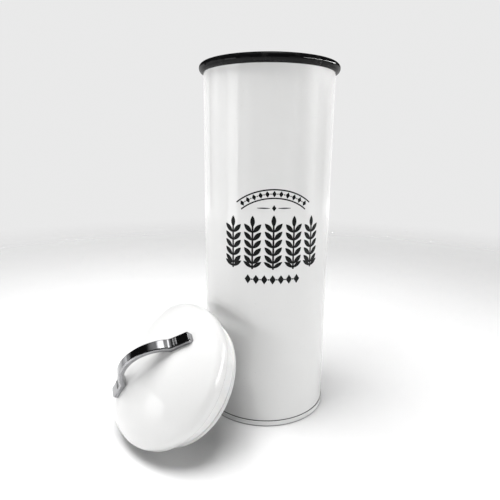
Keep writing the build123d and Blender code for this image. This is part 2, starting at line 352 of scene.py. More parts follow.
seal_silicone = make_silicone()
bare_steel = make_metal("bare_steel", (0.62, 0.61, 0.60), (0.45, 0.44, 0.43), 1.2 * mm, 0.004 * mm)
bright_zinc = make_metal("bright_fastener", (0.74, 0.75, 0.76), (0.60, 0.61, 0.63), 0.7 * mm, 0.003 * mm)
print("small finishes:", seal_silicone.name, bare_steel.name, bright_zinc.name)

# %% [markdown]
# ## Finishes of the construction model
# Each node of the frame gets its finish in its one material slot. Some nodes are drawn again below as finer
# skins and get the same finish there. The others, such as the collar and the screws, keep the shape that
# they have in the construction.

# %% Finishes of the construction model
finish_of = {
    "rim_wire": bare_steel,
    "lid_seal": seal_silicone,
    "handle_screw_low": bright_zinc,
    "handle_screw_high": bright_zinc,
    "washer_low": bright_zinc,
    "washer_high": bright_zinc,
    "handle": polished_handle,
    "body_wall": white_lacquer,
    "base_pan": white_lacquer,
    "lid_dome": white_lacquer,
    "lid_collar": white_lacquer,
    "rim_trim": black_trim,
}
for node, material in finish_of.items():
    slots = frame["nodes"][node].data.materials
    slots.clear()
    slots.append(material)
print("finishes set on", len(finish_of), "nodes")

# %% [markdown]
# ## Outlines
# A turned piece starts as an outline: points given by their distance from the axis and their height. Its
# corners are short arcs, because real sheet is never bent sharp, and each arc gives the gloss a thin line
# of light. Long straight stretches get points in between, so that their faces don't become slivers.

# %% Outlines
def arc(centre, radius, start, end, steps=8):
    """Points round a circle in the (radius, height) plane, in degrees from outwards towards up."""
    turns = [radians(start + (end - start) * i / steps) for i in range(steps + 1)]
    return [(centre[0] + radius * cos(t), centre[1] + radius * sin(t)) for t in turns]


def ladder(start, end, steps):
    """Evenly spaced points between two corners, both left out."""
    return [tuple(a + (b - a) * i / steps for a, b in zip(start, end)) for i in range(1, steps)]


print("a quarter round in 8 steps has", len(arc((0, 0), 1, 0, 90)), "points")

# %% [markdown]
# ## Turning an outline
# A lathe makes a part from one outline swept round an axis. In mesh code that is a grid: one ring of points
# for each corner of the outline, joined by quads. An outline that starts and ends on the axis closes itself
# there, and any other outline is a loop. A modifier could turn it too, but then the rings can't be moved
# one by one, and each piece below has its own small unevenness.

# %% Turning an outline
on_axis = 1e-7


def turned(outline, steps, start=0.0, sweep=360.0, closed=True):
    """Points and outward faces of an outline turned round Z. A short sweep gets a cap at each end."""
    whole = sweep == 360.0
    rings = steps if whole else steps + 1
    points, index = [], []
    for r, z in outline:
        if r < on_axis:
            index.append([len(points)] * (steps + 1))
            points.append(Vector((0, 0, z)))
            continue
        row = []
        for i in range(rings):
            turn = radians(start + sweep * i / steps)
            row.append(len(points))
            points.append(Vector((r * cos(turn), r * sin(turn), z)))
        index.append(row + row[:1] if whole else row)
    pairs = list(zip(index, index[1:] + index[:1])) if closed else list(zip(index, index[1:]))
    faces = []
    for low, high in pairs:
        for i in range(steps):
            corners = [low[i], low[i + 1], high[i + 1], high[i]]
            face = [c for k, c in enumerate(corners) if c not in corners[:k]]
            if len(face) > 2:
                faces.append(face)
    if not whole:
        faces.append([row[0] for row in index])
        faces.append([row[-1] for row in reversed(index)])
    return points, faces


# %% [markdown]
# ## Adding a piece
# Every piece below goes through one function, so that none is left without its body, its slot or its
# finish. A second function paints shade into a joint, where shadow falls: it is full below some height and
# fades out above it, and the lacquer reads it from the mesh.

# %% Adding a piece
def add_piece(name, points, faces, material, body, node=None):
    """A smooth mesh piece that rides on a body and stands for a construction node."""
    mesh = bpy.data.meshes.new(name)
    mesh.from_pydata(points, [], faces)
    mesh.validate()
    mesh.polygons.foreach_set("use_smooth", [True] * len(mesh.polygons))
    mesh.materials.append(material)
    piece = bpy.data.objects.new(name, mesh)
    bpy.context.scene.collection.objects.link(piece)
    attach(piece, body)
    if node:
        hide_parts(node)
    print(name, len(points), "points", len(mesh.polygons), "faces")
    return piece


def paint_joint_shade(piece, top, fade, upright=Matrix()):
    """Paints shade on a piece below a height. Upright is the matrix that stands the piece on its foot."""
    heights = [(upright @ v.co).z for v in piece.data.vertices]
    marks = piece.data.attributes.new("painted_shade", "FLOAT", "POINT")
    marks.data.foreach_set("value", [min(1.0, max(0.0, 1 - (z - top) / fade)) for z in heights])


# %% [markdown]
# ## The rolled wall
# The wall is one sheet rolled into a tube, swaged out a little at its foot and curled outwards round a wire
# at its mouth. A perfect cylinder looks drawn: thin tinplate keeps a trace of the rollers, a shallow
# wander of some hundredths of a millimetre. It is far too small to see in the outline, but it
# makes the reflected bars of light waver, which is what tells the eye that this is sheet metal.

# %% The rolled wall
seam_height = 4.4 * mm
recess = 6.0 * mm
swage = 0.1 * mm
swage_top = recess + sheet + 1.0 * mm
curl_wire_room = 1.18 * mm
curl_centre = (mouth_radius + curl_wire_room + sheet, rim_height)
wall_steps = 288
wall_levels = 46
roller_depth = 0.035 * mm
drift_height = 70 * mm
joint_line = 0.45 * mm
joint_fade = 0.3 * mm


def roller_marks(point):
    """Moves a point of the wall in or out: broad flats from the rollers and a little drift up the wall."""
    around = Vector((point.x, point.y, 0))
    if around.length < 10 * on_axis:
        return point
    turn = atan2(point.y, point.x)
    flat = 0.5 * sin(5 * turn + 1.1) + 0.35 * sin(9 * turn + 0.4) + 0.2 * sin(16 * turn + 2.0)
    drift = noise.noise(Vector((2.2 * cos(turn), 2.2 * sin(turn), point.z / drift_height)))
    return point + around.normalized() * roller_depth * (flat + 0.9 * drift)


def make_wall():
    inside_foot, outside_foot = mouth_radius + swage, wall_radius + swage
    taper_top = swage_top + 2 * mm
    inside = [(inside_foot, sheet), (inside_foot, swage_top), (mouth_radius, taper_top)]
    inside += ladder(inside[-1], (mouth_radius, rim_height), wall_levels)
    curl = arc(curl_centre, curl_wire_room + sheet, 180, -90, 20)
    curl += arc(curl_centre, curl_wire_room, -90, 180, 18)
    outside = ladder((wall_radius, rim_height), (wall_radius, taper_top), wall_levels)
    outside += [(wall_radius, taper_top), (outside_foot, swage_top)]
    outside += [(outside_foot, seam_height + rise * mm) for rise in (1.2, 0.75, 0.55, 0.3, 0, -0.4)]
    outside += [(outside_foot, sheet)]
    points, faces = turned(inside + curl + outside, wall_steps)
    points = [roller_marks(p) for p in points]
    wall = add_piece("rolled_wall", points, faces, white_lacquer, "canister", "body_wall")
    wall.data.materials.append(inside_lacquer)
    for face in wall.data.polygons:
        middle = face.center
        if hypot(middle.x, middle.y) < wall_radius - sheet / 2 and middle.z < rim_height:
            face.material_index = 1
    # painted shade: the dark line of shadow in the gap over the base seam's lip
    paint_joint_shade(wall, seam_height + joint_line, joint_fade)


make_wall()

# %% [markdown]
# ## The side seam
# The wall's two edges are hooked together and hammered flat into a lock seam up the back. From outside it
# is a low flat ridge with one crisp edge, where the outer fold ends, and one soft edge, where the sheet
# bends. It is drawn as a strip: a row of points across the ridge, repeated up the wall.

# %% The side seam
seam_width = 6.0 * mm
seam_rise = 0.8 * mm
seam_low = seam_height + 0.6 * mm
seam_high = rim_height - trim_radius - 0.6 * mm
seam_fold = 0.9 * mm
seam_edge = 0.25 * mm
seam_crown = 0.03 * mm
seam_end = 0.3 * mm
seam_levels = 60


def seam_section():
    """Points across the ridge, from its soft fold to its crisp edge, as an offset and a rise."""
    half = seam_width / 2
    across = [(-half, -seam_edge)]
    across += [(-half + seam_fold * t, seam_rise * sin(pi / 2 * t)) for t in (0.0, 0.2, 0.4, 0.6, 0.8, 1.0)]
    across += [(x * half, seam_rise - seam_crown * (1 - x * x)) for x in (-0.4, 0.0, 0.4)]
    for t in (0.0, 0.5, 1.0, pi / 2):
        across.append((half - seam_edge * (1 - sin(t)), seam_rise - seam_edge * (1 - cos(t))))
    return across + [(half, -seam_edge)]


def make_side_seam():
    across = seam_section()
    step = (seam_high - seam_low) / seam_levels
    levels = [seam_low, seam_low + 0.2 * mm]
    levels += [seam_low + step * i for i in range(1, seam_levels)]
    levels += [seam_high - 0.2 * mm, seam_high]
    points, faces = [], []
    for z in levels:
        end = min(z - seam_low, seam_high - z, seam_end) / seam_end
        for offset, rise in across:
            turn = pi / 2 + offset / wall_radius
            lift = min(rise, rise * (0.55 + 0.45 * end))
            radius = wall_radius + lift
            points.append(Vector((radius * cos(turn), radius * sin(turn), z)))
    row = len(across)
    for k in range(len(levels) - 1):
        for i in range(row - 1):
            a = k * row + i
            faces.append((a + 1, a, a + row, a + row + 1))
        faces.append((k * row, k * row + row - 1, (k + 1) * row + row - 1, (k + 1) * row))
    faces.append(tuple(range(row)))
    faces.append(tuple(reversed(range((len(levels) - 1) * row, len(levels) * row))))
    add_piece("side_seam", points, faces, white_lacquer, "canister")


make_side_seam()

# %% [markdown]
# ## The base
# The base is a pressed pan. Its edge is rolled together with the wall's foot into a seam that stands a
# little proud of the wall. Two fine dark lines frame it: the gap over its upper lip and the edge that it
# stands on, both painted shade for the shadow in the gap and under the edge. The pan's floor is lifted
# clear of the table, and its middle is higher still, so the tin stands on the seam alone.

# %% The base
pan_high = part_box("base_pan")[1]
seam_radius = pan_high.x
floor_middle = pan_high.z - sheet
step_radius = 36 * mm
foot_inside_round = 0.45 * mm
foot_outside_round = 0.55 * mm
lip_round = 0.25 * mm
pan_corner = 0.8 * mm


def make_base():
    leg_outer = mouth_radius + swage - 0.03 * mm
    leg_inner = leg_outer - sheet
    lip_inner = seam_radius - sheet
    under = [(0, floor_middle)] + ladder((0, floor_middle), (step_radius - 3 * mm, floor_middle), 6)
    under += [(step_radius - 3 * mm, floor_middle), (step_radius - 2 * mm, floor_middle - 0.1 * mm)]
    under += [(step_radius - 0.6 * mm, recess + 0.15 * mm), (step_radius + 0.4 * mm, recess)]
    under += ladder((step_radius, recess), (leg_inner, recess), 5)
    under += arc((leg_inner - pan_corner, recess - pan_corner), pan_corner, 90, 0, 5)
    foot = arc((leg_inner + foot_inside_round, foot_inside_round), foot_inside_round, 180, 270, 5)
    foot += arc((seam_radius - foot_outside_round, foot_outside_round), foot_outside_round, -90, 0, 6)
    side = ladder((seam_radius, foot_outside_round), (seam_radius, seam_height - lip_round), 5)
    lip = arc((seam_radius - lip_round, seam_height - lip_round), lip_round, 0, 180, 8)
    hook = [(lip_inner, sheet), (leg_outer, sheet)]
    top = [(leg_outer, recess + sheet), (step_radius + 0.4 * mm, recess + sheet)]
    top += [(step_radius - 0.6 * mm, recess + sheet + 0.15 * mm)]
    top += [(step_radius - 2 * mm, floor_middle + 0.4 * mm)]
    top += [(step_radius - 3 * mm, floor_middle + sheet), (0, floor_middle + sheet)]
    outline = under + foot + side + lip + hook + top
    points, faces = turned(outline, wall_steps, closed=False)
    base = add_piece("pressed_base", points, faces, white_lacquer, "canister", "base_pan")
    # painted shade: the contact shadow along the edge that the tin stands on
    paint_joint_shade(base, joint_line, joint_fade)


make_base()

# %% [markdown]
# ## The rim trim
# The trim is a half-round ring pushed down over the curl. Its ends meet in a butt joint to the right of the
# front. A lathe can leave that gap by turning a little less than a full circle and closing both ends with
# a face, which is simpler than cutting the ring afterwards.

# %% The rim trim
trim_joint = -48.0
trim_joint_gap = 0.3 * mm
trim_steps = 300
trim_corner = 0.35 * mm
trim_air = 0.08 * mm


def make_trim():
    crown = (wall_radius, rim_height)
    room = curl_wire_room + sheet + trim_air
    inner = (mouth_radius + trim_corner, canister_height - trim_corner)
    outline = arc(crown, trim_radius, -80, 90, 30)
    outline += arc(inner, trim_corner, 90, 180, 5)
    outline += [(mouth_radius, rim_height + 1.9 * mm), (curl_centre[0] - room, rim_height + 0.9 * mm)]
    outline += arc(curl_centre, room, 140, -60, 12)
    outline += [(wall_radius + 0.12 * mm, rim_height - room - 0.5 * mm)]
    outline += [(wall_radius + 0.12 * mm, rim_height - trim_radius + 0.5 * mm)]
    outline += [(wall_radius + 0.3 * mm, rim_height - trim_radius + 0.12 * mm)]
    half_gap = degrees(trim_joint_gap / 2 / rim_radius)
    points, faces = turned(outline, trim_steps, trim_joint + half_gap, 360 - 2 * half_gap)
    trim = add_piece("black_rim", points, faces, black_trim, "canister", "rim_trim")
    for face in trim.data.polygons[-2:]:
        face.use_smooth = False


make_trim()

# %% [markdown]
# ## Printed ink
# The front carries a one-colour print, baked on like the lacquer. Screen ink is nearly black and a little
# duller than the lacquer. It is never quite even: it thins out in small clouds, and it has pinholes.

# %% Printed ink
full_ink = (0.003, 0.003, 0.003)
thin_ink = (0.008, 0.008, 0.008)
bare_pinhole = (0.35, 0.35, 0.35)
pinhole_strength = 0.5


def make_ink():
    finish = Finish("printed_ink", Specular_IOR_Level=0.15)
    cloud = finish.limits(finish.grain(4 * mm, detail=4), 0.4, 0.75)
    colour = finish.mix(cloud, full_ink, thin_ink)
    pinholes = finish.limits(finish.grain(0.45 * mm, detail=1), 0.80, 0.84)
    colour = finish.mix(finish.product(pinholes, pinhole_strength), colour, bare_pinhole)
    finish.feed(Base_Color=colour, Roughness=finish.limits(cloud, 0, 1, 0.32, 0.46))
    finish.bump(finish.grain(0.8 * mm, detail=2), 0.002 * mm)
    return finish.material


printed_ink = make_ink()
print("print finish:", printed_ink.name)

# %% [markdown]
# ## Shapes of the print
# A flat drawing laid on the wall as a picture would blur close up, so every shape of the print is real, a
# thin plate of ink. Each is a ribbon, a list of rungs with a left and a right end. That is enough for a
# leaf, a line and an arc alike, and it needs no font and no curve tool.

# %% Shapes of the print
def way_up(tilt):
    """The direction that leans from straight up by tilt degrees."""
    return Vector((sin(radians(tilt)), cos(radians(tilt))))


def leaf(across, height, length, width, tilt=0.0, fullness=0.8, steps=10):
    """A pointed leaf that starts at a point and leans. Fullness 1 and 2 steps make a lozenge."""
    way = way_up(tilt)
    side = Vector((way.y, -way.x))
    rungs = []
    for i in range(steps + 1):
        share = i / steps
        half = width / 2 * max(0.01, sin(pi * share)) ** fullness
        middle = Vector((across, height)) + way * length * share
        rungs.append((middle - side * half, middle + side * half))
    return rungs


def lozenge(across, height, length, width, tilt=0.0):
    """A lozenge about its middle."""
    way = way_up(tilt) * length / 2
    return leaf(across - way.x, height - way.y, length, width, tilt, 1.0, 2)


def dot(across, height, size):
    """A small round dot about its middle."""
    return leaf(across, height - size / 2, size, size, 0, 0.5, 6)


def bow(centre, radius, thickness, half_turn, steps=60):
    """A thin arc about a centre, to the same angle on both sides of its top."""
    rungs = []
    for i in range(steps + 1):
        way = way_up(half_turn * (2 * i / steps - 1))
        rungs.append((centre + way * (radius - thickness / 2), centre + way * (radius + thickness / 2)))
    return rungs


def rule(start, end, height, thickness, steps=8):
    """A level line that thins towards both ends."""
    rungs = []
    for i in range(steps + 1):
        half = thickness / 2 * (0.35 + 0.65 * sin(pi * i / steps))
        along = start + (end - start) * i / steps
        rungs.append((Vector((along, height + half)), Vector((along, height - half))))
    return rungs


print("a leaf has", len(leaf(0, 0, 1, 1)), "rungs and a lozenge", len(lozenge(0, 0, 1, 1)))

# %% [markdown]
# ## The band and the small rows
# The print is a plain grain-store ornament. At its top is a band of lozenges and dots between two arcs,
# then a small rule, and a level row of lozenges closes it below. Each row is one loop over its middle
# places.

# %% The band and the small rows
band_top = 190.4 * mm
band_radius = 46 * mm
band_width = 6.2 * mm
band_line = 1.0 * mm
band_half_turn = 38
lozenge_turn = 6.7
rule_height = 177 * mm
row_height = 123.2 * mm
row_pitch = 6.3 * mm


def arched_band():
    centre = Vector((0, band_top - band_radius))
    outer = bow(centre, band_radius, band_line, band_half_turn)
    shapes = [outer, bow(centre, band_radius - band_width, band_line, band_half_turn)]
    middle = band_radius - band_width / 2
    for i in range(-5, 6):
        turn = lozenge_turn * i
        place = centre + way_up(turn) * middle
        shapes.append(lozenge(place.x, place.y, 4.6 * mm, 3.3 * mm, turn))
        if i < 5:
            place = centre + way_up(turn + lozenge_turn / 2) * middle
            shapes.append(dot(place.x, place.y, 1.0 * mm))
    return shapes


def small_rule():
    ends = ((-12.5 * mm, -3 * mm), (3 * mm, 12.5 * mm))
    lines = [rule(start, end, rule_height, 0.9 * mm) for start, end in ends]
    return lines + [lozenge(0, rule_height, 4.6 * mm, 3.2 * mm)]


def lower_row():
    shapes = [lozenge(row_pitch * i, row_height, 7.2 * mm, 5.0 * mm) for i in range(-3, 4)]
    return shapes + [dot(row_pitch * (i + 0.5), row_height, 1.2 * mm) for i in range(-3, 3)]


ornament = arched_band() + small_rule() + lower_row()
print("shapes in the band and the small rows:", len(ornament))

# %% [markdown]
# ## The wheat ears
# Five ears of wheat fill the middle. An ear is a stem with two leaves, pairs of grains that lean outwards
# and one grain at the tip. The grains must stay narrow and lean well out, or the ear closes up into a blot
# when it is seen from some way off.

# %% The wheat ears
ear_foot = 131 * mm
ear_height = 41.5 * mm
ear_pitch = 15.6 * mm
grain_pairs = 5
grain_pitch = 5.9 * mm
grain_length = 8.8 * mm
grain_width = 3.5 * mm
grain_lean = 43
stem_half = 0.7 * mm


def wheat_ear(across, foot, height):
    first = foot + height - grain_length - grain_pitch * grain_pairs + 1.5 * mm
    levels = (foot, foot + height * 0.8)
    stem = [(Vector((across - stem_half, z)), Vector((across + stem_half, z))) for z in levels]
    shapes = [stem, leaf(across, foot + height - grain_length - 0.6 * mm, grain_length, grain_width)]
    for way in (-1, 1):
        shapes.append(leaf(across, foot + 1.0 * mm, 8.5 * mm, 2.9 * mm, 55 * way))
        root = across + 0.5 * mm * way
        for i in range(grain_pairs):
            shapes.append(leaf(root, first + grain_pitch * i, grain_length, grain_width, grain_lean * way))
    return shapes


for i in range(-2, 3):
    ornament += wheat_ear(ear_pitch * i, ear_foot, ear_height - 0.6 * mm * abs(i))
print("shapes in the whole print:", len(ornament))

# %% [markdown]
# ## The front print
# The drawing is now bent round the wall: the distance across becomes an angle, and the same small
# unevenness as the wall's moves each point, so the ink lies on the sheet everywhere. Its underside is sunk
# into the wall a little, which leaves no gap to see under.

# %% The front print
print_middle = 5.3 * mm
ink_above = 0.035 * mm
ink_below = 0.10 * mm


def on_wall(flat, lift):
    """A point of the flat drawing, bent round the wall and lifted off it."""
    turn = (print_middle + flat.x) / wall_radius - pi / 2
    outward = Vector((cos(turn), sin(turn), 0))
    return roller_marks(outward * wall_radius + Vector((0, 0, flat.y))) + outward * lift


def add_print():
    points, faces = [], []
    for rungs in ornament:
        first = len(points)
        for left, right in rungs:
            row = [left, (left + right) / 2, right]
            points.extend([on_wall(p, ink_above) for p in row])
            points.extend([on_wall(p, -ink_below) for p in reversed(row)])
        for k in range(len(rungs) - 1):
            for i in range(6):
                a, b = first + 6 * k + i, first + 6 * k + (i + 1) % 6
                faces.append((a, b, b + 6, a + 6))
        last = first + 6 * (len(rungs) - 1)
        faces.append(tuple(reversed(range(first, first + 6))))
        faces.append(tuple(range(last, last + 6)))
    ink = add_piece("front_print", points, faces, printed_ink, "canister")
    ink.data.polygons.foreach_set("use_smooth", [False] * len(faces))
    build = bmesh.new()
    build.from_mesh(ink.data)
    bmesh.ops.recalc_face_normals(build, faces=build.faces)
    build.to_mesh(ink.data)
    build.free()


add_print()

# %% [markdown]
# ## The domed lid
# The dome is a part of a sphere that rolls over a tight shoulder into a short skirt, and the skirt's edge
# is hemmed inwards. Two arcs that share a tangent make that line exactly, so no smoothing tool is needed.
# The dome's radius follows from the lid's height and the shoulder's size.

# %% The domed lid
lid_radius = rim_radius + 0.5 * mm
lid_height = 44.1 * mm
shoulder_radius = 8.8 * mm
shoulder_height = 20.6 * mm
hem_height = 16.6 * mm
hem_roll = 0.9 * mm
shoulder_centre = (lid_radius - shoulder_radius, shoulder_height)
dome_drop = lid_height - shoulder_height
dome_radius = shoulder_centre[0] ** 2 + dome_drop**2 - shoulder_radius**2
dome_radius /= 2 * (dome_drop - shoulder_radius)
dome_centre = (0, lid_height - dome_radius)
shoulder_angle = degrees(atan2(shoulder_height - dome_centre[1], shoulder_centre[0]))
print("dome radius", round(dome_radius / mm, 2), "shoulder from", round(shoulder_angle, 1), "degrees")

# %% [markdown]
# ## The mark of the press
# A press leaves its own faint mark, a shallow ring where the punch let go, and the sheet wanders a little
# as it springs back. Both are below a tenth of a millimetre, so they show only as a slight bend in the
# reflections. Moving the points does it without any texture.

# %% The mark of the press
mark_depth = 0.03 * mm
mark_radius = 40 * mm
mark_reach = 9 * mm
mark_wave = 5 * mm
wander_size = 26 * mm


def press_mark(point):
    """Shallow waves that the press leaves: one ring near the shoulder and a slow wander over the dome."""
    if point.z <= shoulder_height:
        return point
    off = hypot(point.x, point.y) - mark_radius
    ring = cos(off / mark_wave) * max(0.0, 1 - abs(off) / mark_reach)
    wander = noise.noise(point / wander_size)
    return point + Vector((0, 0, mark_depth * (ring + wander)))


print("the press moves the dome by at most", round(2 * mark_depth / mm, 2), "mm")

# %% [markdown]
# ## Turning the dome
# The outline runs over the outside from the top to the hem, round the hem's inner edge, and back up the
# inside, so the sheet has its real thickness. The underside of the hem is painted dark, since little light
# gets into the gap between the skirt and the collar.

# %% Turning the dome
def make_dome():
    skirt_inner = lid_radius - sheet
    hem_inner = mouth_radius + 0.2 * mm
    outside = arc(dome_centre, dome_radius, 90, shoulder_angle, 60)
    outside += arc(shoulder_centre, shoulder_radius, shoulder_angle, 0, 22)[1:]
    outside += ladder((lid_radius, shoulder_height), (lid_radius, hem_height + hem_roll), 4)
    outside += arc((lid_radius - hem_roll, hem_height + hem_roll), hem_roll, 0, -90, 8)
    hem = [(hem_inner + 0.2 * mm, hem_height)]
    hem += arc((hem_inner + sheet / 2, hem_height + sheet / 2), sheet / 2, -90, -270, 8)
    inside = [(skirt_inner - 0.4 * mm, hem_height + sheet), (skirt_inner, hem_height + sheet + 0.4 * mm)]
    inside += ladder(inside[-1], (skirt_inner, shoulder_height), 3)
    inside += arc(shoulder_centre, shoulder_radius - sheet, 0, shoulder_angle, 16)
    inside += arc(dome_centre, dome_radius - sheet, shoulder_angle, 90, 50)[1:]
    inside[-1] = (0, inside[-1][1])
    outside[0] = (0, outside[0][1])
    points, faces = turned(outside + hem + inside, wall_steps, closed=False)
    points = [lid_place @ press_mark(p) for p in points]
    dome = add_piece("pressed_dome", points, faces, white_lacquer, "lid", "lid_dome")
    # painted shade under the hem's roll, for the shadow in the gap to the collar
    paint_joint_shade(dome, hem_height + 0.5 * mm, 0.2 * mm, lid_place.inverted())


make_dome()

# %% [markdown]
# ## The bow handle from the side
# The handle is a cast strap: an arch, a concave bend at each end, and two flat feet that sit on the dome.
# It could be cut from a block with booleans, but then every soft edge would need its own bevel. Here it is
# lofted instead: one ring of points for each station along the strap. Its side view comes first. The bend
# touches the foot's line and the arch's circle, so its centre lies one radius from both.

# %% The bow handle from the side
handle_points = [lid_place.inverted() @ v.co for v in frame["nodes"]["handle"].data.vertices]
half_length = max(point.x for point in handle_points)
half_foot = max(point.y for point in handle_points)
arch_top = max(point.z for point in handle_points)
strap = 4.35 * mm
arch_rise = 14.6 * mm
foot_length = 13.75 * mm
half_arch = half_length - foot_length
bend_radius = 7 * mm
seat_gap = 0.02 * mm


def seat_height(spread):
    """Height of the dome under the handle at this distance from the lid's axis."""
    return dome_centre[1] + sqrt((dome_radius + seat_gap) ** 2 - spread**2)


arch_radius = (half_arch**2 + arch_rise**2) / (2 * arch_rise)
arch_centre = Vector((0, arch_top - arch_radius))
foot_start = Vector((half_arch, arch_top - arch_rise))
foot_end = Vector((half_length, seat_height(half_length) + strap))
foot_way = (foot_end - foot_start).normalized()
foot_up = Vector((-foot_way.y, foot_way.x))
from_arch = foot_start + foot_up * bend_radius - arch_centre
reach = -from_arch.dot(foot_way)
reach += sqrt(from_arch.dot(foot_way) ** 2 - from_arch.length_squared + (arch_radius + bend_radius) ** 2)
bend_centre = arch_centre + from_arch + foot_way * reach
bend_start = (bend_centre - arch_centre).normalized()
arch_end = atan2(bend_start.x, bend_start.y)
bend_turn = atan2(foot_up.y, foot_up.x) - atan2(bend_start.y, bend_start.x)
bend_end = bend_centre - foot_up * bend_radius
print("arch radius", round(arch_radius / mm, 2), "bend turns", round(degrees(bend_turn), 1), "degrees")

# %% [markdown]
# ## Stations along the handle
# Each station is a point of the strap's top and its partner below. The stations crowd together near the
# foot's end, where the corners and the bevel need them. Under the arch the partner lies one strap's
# thickness in, and under the foot it lies on the dome.

# %% Stations along the handle
arch_steps = 40
bend_steps = 14
foot_step = 0.22 * mm
end_stations = [v * mm for v in (2.6, 1.7, 1.3, 1.0, 0.85, 0.72, 0.6, 0.45, 0.25, 0.1, 0.0)]


def on_arch(i, radius):
    """A point at step i of the arch, on a circle of this radius about its centre."""
    turn = arch_end * i / arch_steps
    return arch_centre + Vector((sin(turn), cos(turn))) * radius


def top_line():
    """Points of the strap's top, from the middle of the arch to the foot's end."""
    line = [on_arch(i, arch_radius) for i in range(arch_steps + 1)]
    start = atan2(-bend_start.y, -bend_start.x)
    for i in range(1, bend_steps + 1):
        turn = start + bend_turn * i / bend_steps
        line.append(bend_centre + Vector((cos(turn), sin(turn))) * bend_radius)
    length = (foot_end - bend_end).length - end_stations[0]
    plain = int(length / foot_step)
    line += [bend_end + foot_way * length * i / plain for i in range(1, plain)]
    return line + [foot_end - foot_way * (back / foot_way.x) for back in end_stations]


def bottom_line(top):
    """The partner of each top point: the arch's underside, and then the dome that the foot sits on."""
    inner = arch_radius - strap
    line = [on_arch(i, inner) for i in range(arch_steps + 1)]
    rest = len(top) - len(line)
    leave = line[-1].x
    for i in range(1, rest + 1):
        along = leave + (half_length - leave) * (i / rest)
        under = arch_centre.y + sqrt(max(0.0, inner**2 - along**2))
        line.append(Vector((along, max(under, seat_height(along)))))
    return line


print("stations on each half of the handle:", len(top_line()))

# %% [markdown]
# ## Outline, bevel and ribs of the handle
# Seen from above, the strap is slightly waisted and its feet have round corners. Casting and polishing
# leave a narrow bevel round the top and two fine ribs where each foot begins. The bevel is one rule: a
# point of the top drops as it nears the outline. So it runs round the foot's corners without extra work.

# %% Outline, bevel and ribs of the handle
half_waist = half_foot - 0.8 * mm
foot_corner = 1.7 * mm
bevel = 0.7 * mm
bevel_round = 0.14 * mm
rib_places = [28.1 * mm, 30.0 * mm]
rib_half = 0.62 * mm
rib_rise = 0.42 * mm
rib_fade = 0.5 * mm


def half_width(along):
    """Half the strap's width: the waist of the arch, or the foot with its round corner."""
    back = half_length - along
    if back < foot_corner:
        return half_foot - foot_corner + sqrt(max(0.0, foot_corner**2 - (foot_corner - back) ** 2))
    waist = half_waist + (half_foot - half_waist) * (along / half_arch) ** 2
    return min(half_foot, waist)


def bevel_drop(along, across):
    """How far the bevel lowers the top at a point, from its distance to the outline."""
    back = half_length - along
    inset = half_width(along) - across
    if back < foot_corner and across > half_foot - foot_corner:
        inset = foot_corner - hypot(foot_corner - back, across - half_foot + foot_corner)
    near = min(inset, back) - bevel
    if near > bevel_round:
        return 0.0
    if near < -bevel_round:
        return -near
    return (bevel_round - near) ** 2 / (4 * bevel_round)


def rib_height(along, across):
    """The two ribs, each a low round ridge that dies out before the bevel."""
    fade = min(1.0, max(0.0, (half_foot - bevel - across) / rib_fade))
    ridges = [max(0.0, 1 - ((along - place) / rib_half) ** 2) ** 0.7 for place in rib_places]
    return fade * rib_rise * sum(ridges)


print("half width, mm: middle", round(half_width(0) / mm, 2), "foot", round(half_width(half_arch) / mm, 2))

# %% [markdown]
# ## Sections of the handle
# A section is one closed ring: over the top from side to side, down the side and back along the underside.
# The strap's lower edges are rounder under the arch, where fingers go, than at the feet. There the ring's
# lower points follow the dome, so that the foot sits on it over its whole width.

# %% Sections of the handle
arch_edge = 1.15 * mm
foot_edge = 0.35 * mm
edge_change = 3 * mm
edge_steps = 4
under_bevel = bevel + 0.12 * mm
top_insets = [v * mm for v in (0, 0.1, 0.3, 0.5, 0.62, 0.74, 0.9, 1.25, 1.9)]


def section(top, bottom, along):
    """One ring of the strap as pairs: a distance across, and a place in the side view."""
    width = half_width(along)
    up = (top - bottom).normalized()
    rows = []
    for across in [width - inset for inset in top_insets] + [0]:
        rows.append((across, top + up * (rib_height(along, across) - bevel_drop(along, across))))
    side = []
    seated = bottom.y - seat_height(bottom.x)
    soft = foot_edge + (arch_edge - foot_edge) * min(1.0, seated / edge_change)
    for i in range(edge_steps + 1):
        turn = pi / 2 * i / edge_steps
        across = width - soft * (1 - sin(turn))
        fall = seat_height(bottom.x) - seat_height(hypot(bottom.x, across)) if seated < seat_gap else 0
        side.append((across, bottom - Vector((0, fall)) + up * soft * (1 - cos(turn))))
    side.append((width, (top + side[-1][1]) / 2))
    side.append((width, top - up * under_bevel))
    half = [(0, bottom), (width / 2, bottom)] + side + rows
    other = [(-across, place) for across, place in reversed(half[1:-1])]
    return half + other


middle_section = section(top_line()[0], bottom_line(top_line())[0], 0)
print("points in a section:", len(middle_section))

# %% [markdown]
# ## The bow handle
# The loft joins the rings of both halves from one foot to the other and closes the two ends. Each point
# near an upper edge also gets a number named edge, which the finish reads as wear.

# %% The bow handle
edge_reach = 1.3 * bevel
edge_depth = 1.2 * bevel


def make_handle():
    top = top_line()
    bottom = bottom_line(top)
    pairs = list(zip(top, bottom))
    points, edges = [], []
    stations = [(t, b, -1) for t, b in reversed(pairs[1:])] + [(t, b, 1) for t, b in pairs]
    for t, b, way in stations:
        for across, place in section(t, b, t.x):
            points.append(lid_place @ Vector((way * place.x, across, place.y)))
            near = min(half_width(t.x) - abs(across), half_length - t.x)
            upper = (place - b).dot((t - b).normalized()) > strap - edge_depth
            edges.append(upper * max(0.0, 1 - near / edge_reach))
    count = len(middle_section)
    faces = []
    for k in range(len(stations) - 1):
        for i in range(count):
            a, b = k * count + i, k * count + (i + 1) % count
            faces.append((a, a + count, b + count, b))
    last = (len(stations) - 1) * count
    faces.append(tuple(range(count)))
    faces.append(tuple(last + i for i in reversed(range(count))))
    handle = add_piece("bow_handle", points, faces, polished_handle, "lid", "handle")
    for face in handle.data.polygons[-2:]:
        face.use_smooth = False
    wear = handle.data.attributes.new("edge", "FLOAT", "POINT")
    wear.data.foreach_set("value", edges)


make_handle()

